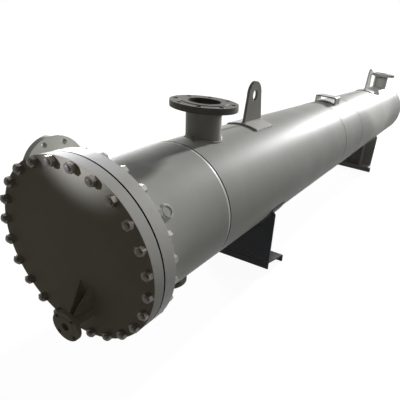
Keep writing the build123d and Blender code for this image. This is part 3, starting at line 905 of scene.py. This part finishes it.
def saddle_paths(saddle):
    """Open paths where the web meets the wear plate and the base, and where the ribs meet both."""
    web, ribs, base = span[saddle + "_web"], span[saddle + "_ribs"], span[saddle + "_base"]
    web_share, half_steps, short_of_end = 0.9, 12, 4 * MM
    wear_r = shell_r + wear_t
    half = math.asin(web_share * web.size.x / 2 / wear_r)
    angles = [half * (k / half_steps - 1) for k in range(2 * half_steps + 1)]
    foot_x = (web.low.x + short_of_end, 0, web.high.x - short_of_end)
    paths = []
    for y in (web.low.y, web.high.y):
        paths.append(([Vector((wear_r * math.sin(a), y, axis_z - wear_r * math.cos(a)))
                       for a in angles], False))
        paths.append(([Vector((x, y, base.high.z)) for x in foot_x], False))
    for x in (ribs.low.x, ribs.low.x + rib_t, ribs.high.x - rib_t, ribs.high.x):
        for z in (base.high.z, axis_z - math.sqrt(wear_r ** 2 - x ** 2)):
            paths.append(([Vector((x, ribs.low.y, z)), Vector((x, ribs.high.y, z))], False))
    return paths


def make_nozzle_welds():
    nozzle_r = span["top_nozzle_front_neck"].size.x / 2
    necks = (("top_nozzle_front", top_front, nozzle_r, 0.0),
             ("top_nozzle_rear", top_rear, nozzle_r, 0.0),
             ("side_nozzle", side, nozzle_r, side_offset),
             ("bottom_nozzle", bottom, bottom_neck.size.x / 2, 0.0))
    weld("nozzle_foot_welds", [foot_ring(place, radius + foot_off, offset)
                               for _, place, radius, offset in necks],
         foot_bead, weld_paint)
    paths = [level_ring(place, radius + bead_off,
                        heights_of(span[name + "_flange"], place)[0] - bead_off)
             for name, place, radius, _ in necks]
    weld("nozzle_flange_welds", paths, small_bead, neck_paint)
    small_r = cover_neck.size.x / 2 + bead_off
    under = cover.low.y - cover_pipe_flange.high.y - bead_off
    weld("cover_nozzle_welds", [level_ring(cover_pipe, small_r, bead_off),
                                level_ring(cover_pipe, small_r, under)],
         small_bead, cover_paint, small_ripple_spacing)
    weld("coupling_weld", [foot_ring(coupling_place, boss_r + bead_off)], small_bead, weld_paint)


def make_plate_welds():
    paths, pads = [], []
    for name in ("lug_front", "lug_rear"):
        pad, lug = span[name + "_pad"], span[name]
        pads.append(rolled_rectangle(pad.low, pad.high))
        half, top = lug.size.x / 2, pad.high.z
        paths.append(([Vector((x, y, top)) for x, y in (
            (-half, lug.low.y), (half, lug.low.y), (half, lug.high.y), (-half, lug.high.y))],
            True))
    weld("lug_welds", paths, lug_bead, weld_paint)
    bracket = span["nameplate_bracket"]
    pads.append(rolled_rectangle(bracket.low, bracket.high))
    weld("pad_welds", pads, pad_bead, weld_paint)
    # Painted light: the front saddle's welds take the necks' lighter shade, so they show as pale
    # lines on its darker, shaded plates.
    for saddle, coat in (("front_saddle", neck_paint), ("rear_saddle", rear_saddle_paint)):
        weld(saddle + "_welds", saddle_paths(saddle), small_bead, coat)


def make_welds():
    weld("girth_seam_welds", [level_ring(vessel, shell_r - seam_sink, course.high.y, seam_steps)
                              for course in courses],
         seam_bead, weld_paint, seam_ripple_spacing, seam_ripple_depth)
    weld("channel_flange_weld", [level_ring(vessel, shell_r + bead_off, flange.high.y + bead_off,
                                            seam_steps)],
         flange_bead, weld_paint)
    make_nozzle_welds()
    make_plate_welds()


def dress(material, *names):
    """Gives CAD nodes that are shown as they are their material."""
    for name in names:
        slots = nodes[name].data.materials
        slots.clear()
        slots.append(material)


make_shell()
make_head()
make_channel()
make_tube_sheet()
make_cover_joint()
make_shell_nozzle("top_nozzle_front", top_front, large_pipe, neck_paint, nozzle_paint)
make_shell_nozzle("top_nozzle_rear", top_rear, large_pipe, pad_paint, pad_paint)
make_shell_nozzle("side_nozzle", side, large_pipe, shell_paint, shell_paint, side_offset)
make_shell_nozzle("bottom_nozzle", bottom, small_pipe, neck_paint, nozzle_paint)
make_cover_nozzle()
make_coupling()
make_fasteners()
make_tubes()
make_plates()
make_welds()
dress(bare_steel, "baffles", "pass_partition")

# Floor, world and lamps
white = (1, 1, 1, 1)
floor_half = 60.0
sun_distance = 10
spot_source_r = 60 * MM


def seen_by_eye(tree):
    """1 for camera, glossy and transmission rays, which see the pale background, and 0 for the
    rest."""
    rays = add_node(tree, "ShaderNodeLightPath").outputs
    seen = rays["Is Camera Ray"]
    for ray in ("Is Glossy Ray", "Is Transmission Ray"):
        seen = add_node(tree, "ShaderNodeMath", {0: seen, 1: rays[ray]},
                        operation="MAXIMUM").outputs[0]
    return seen


def make_floor(colour, glow):
    """A plain floor that the eye sees pale, and that keeps the object's shadow."""
    corners = [(x * floor_half, y * floor_half, 0)
               for x, y in ((-1, -1), (1, -1), (1, 1), (-1, 1))]
    mesh = bpy.data.meshes.new("floor")
    mesh.from_pydata(corners, [], [(0, 1, 2, 3)])
    floor = link("floor", mesh)
    material, tree, shader, _ = new_material("pale_floor", 0.9, gloss=0.1)
    shader.inputs["Base Color"].default_value = linear(colour)
    shader.inputs["Emission Color"].default_value = white
    shine = add_node(tree, "ShaderNodeMath", {0: seen_by_eye(tree), 1: glow},
                     operation="MULTIPLY")
    tree.links.new(shine.outputs[0], shader.inputs["Emission Strength"])
    mesh.materials.append(material)


def make_world(fill_strength):
    """A white backdrop for the eye, and a weak even fill for the object."""
    world = bpy.data.worlds.new("studio")
    bpy.context.scene.world = world
    world.use_nodes = True
    tree = world.node_tree
    tree.nodes.clear()
    fill = add_node(tree, "ShaderNodeBackground", {"Color": white, "Strength": fill_strength})
    backdrop = add_node(tree, "ShaderNodeBackground", {"Color": white, "Strength": 1.0})
    mix = add_node(tree, "ShaderNodeMixShader", {
        0: seen_by_eye(tree), 1: fill.outputs[0], 2: backdrop.outputs[0]})
    add_node(tree, "ShaderNodeOutputWorld", {"Surface": mix.outputs[0]})


def aim(lamp, place, target):
    lamp.location = place
    lamp.rotation_euler = (Vector(target) - Vector(place)).to_track_quat("-Z", "Y").to_euler()
    bpy.context.scene.collection.objects.link(lamp)


def make_sun(name, azimuth, elevation, width, strength):
    """A far lamp. Azimuth 0 is beyond the dished end, and 90 is on the near side."""
    data = bpy.data.lights.new(name, "SUN")
    data.angle = math.radians(width)
    data.energy = strength
    turn, rise = math.radians(azimuth), math.radians(elevation)
    place = sun_distance * Vector((
        math.sin(turn) * math.cos(rise), math.cos(turn) * math.cos(rise), math.sin(rise)))
    aim(bpy.data.objects.new(name, data), place, (0, 0, 0))


def make_spot(name, place, target, width, blend, watts, colour="#ffffff"):
    """A lamp with a narrow beam, as wide as that many degrees."""
    data = bpy.data.lights.new(name, "SPOT")
    data.color = linear(colour)[:3]
    data.spot_size = math.radians(width)
    data.spot_blend = blend
    data.shadow_soft_size = spot_source_r
    data.energy = watts
    aim(bpy.data.objects.new(name, data), place, target)


make_floor("#505050", 0.95)
make_world(0.05)
make_sun("far_door", 1, 15, 3, 4.0)
make_sun("far_left_windows", -53, 10, 12, 2.4)
make_sun("near_side_windows", 32, 16, 18, 0.7)
make_spot("front_skylight", (-4.35, -7.54, 3.68), (0.05, -1.38, 1.12), 2.95, 1.0, 4000, "#e3e8ff")
make_spot("side_flange_light", (3.0, -0.94, 2.75), (-0.6, -0.94, 0.95), 8, 0.5, 240)
make_spot("far_end_fill", (3.5, 0.5, 2.8), (0, 3.4, 1.15), 20, 0.5, 300)
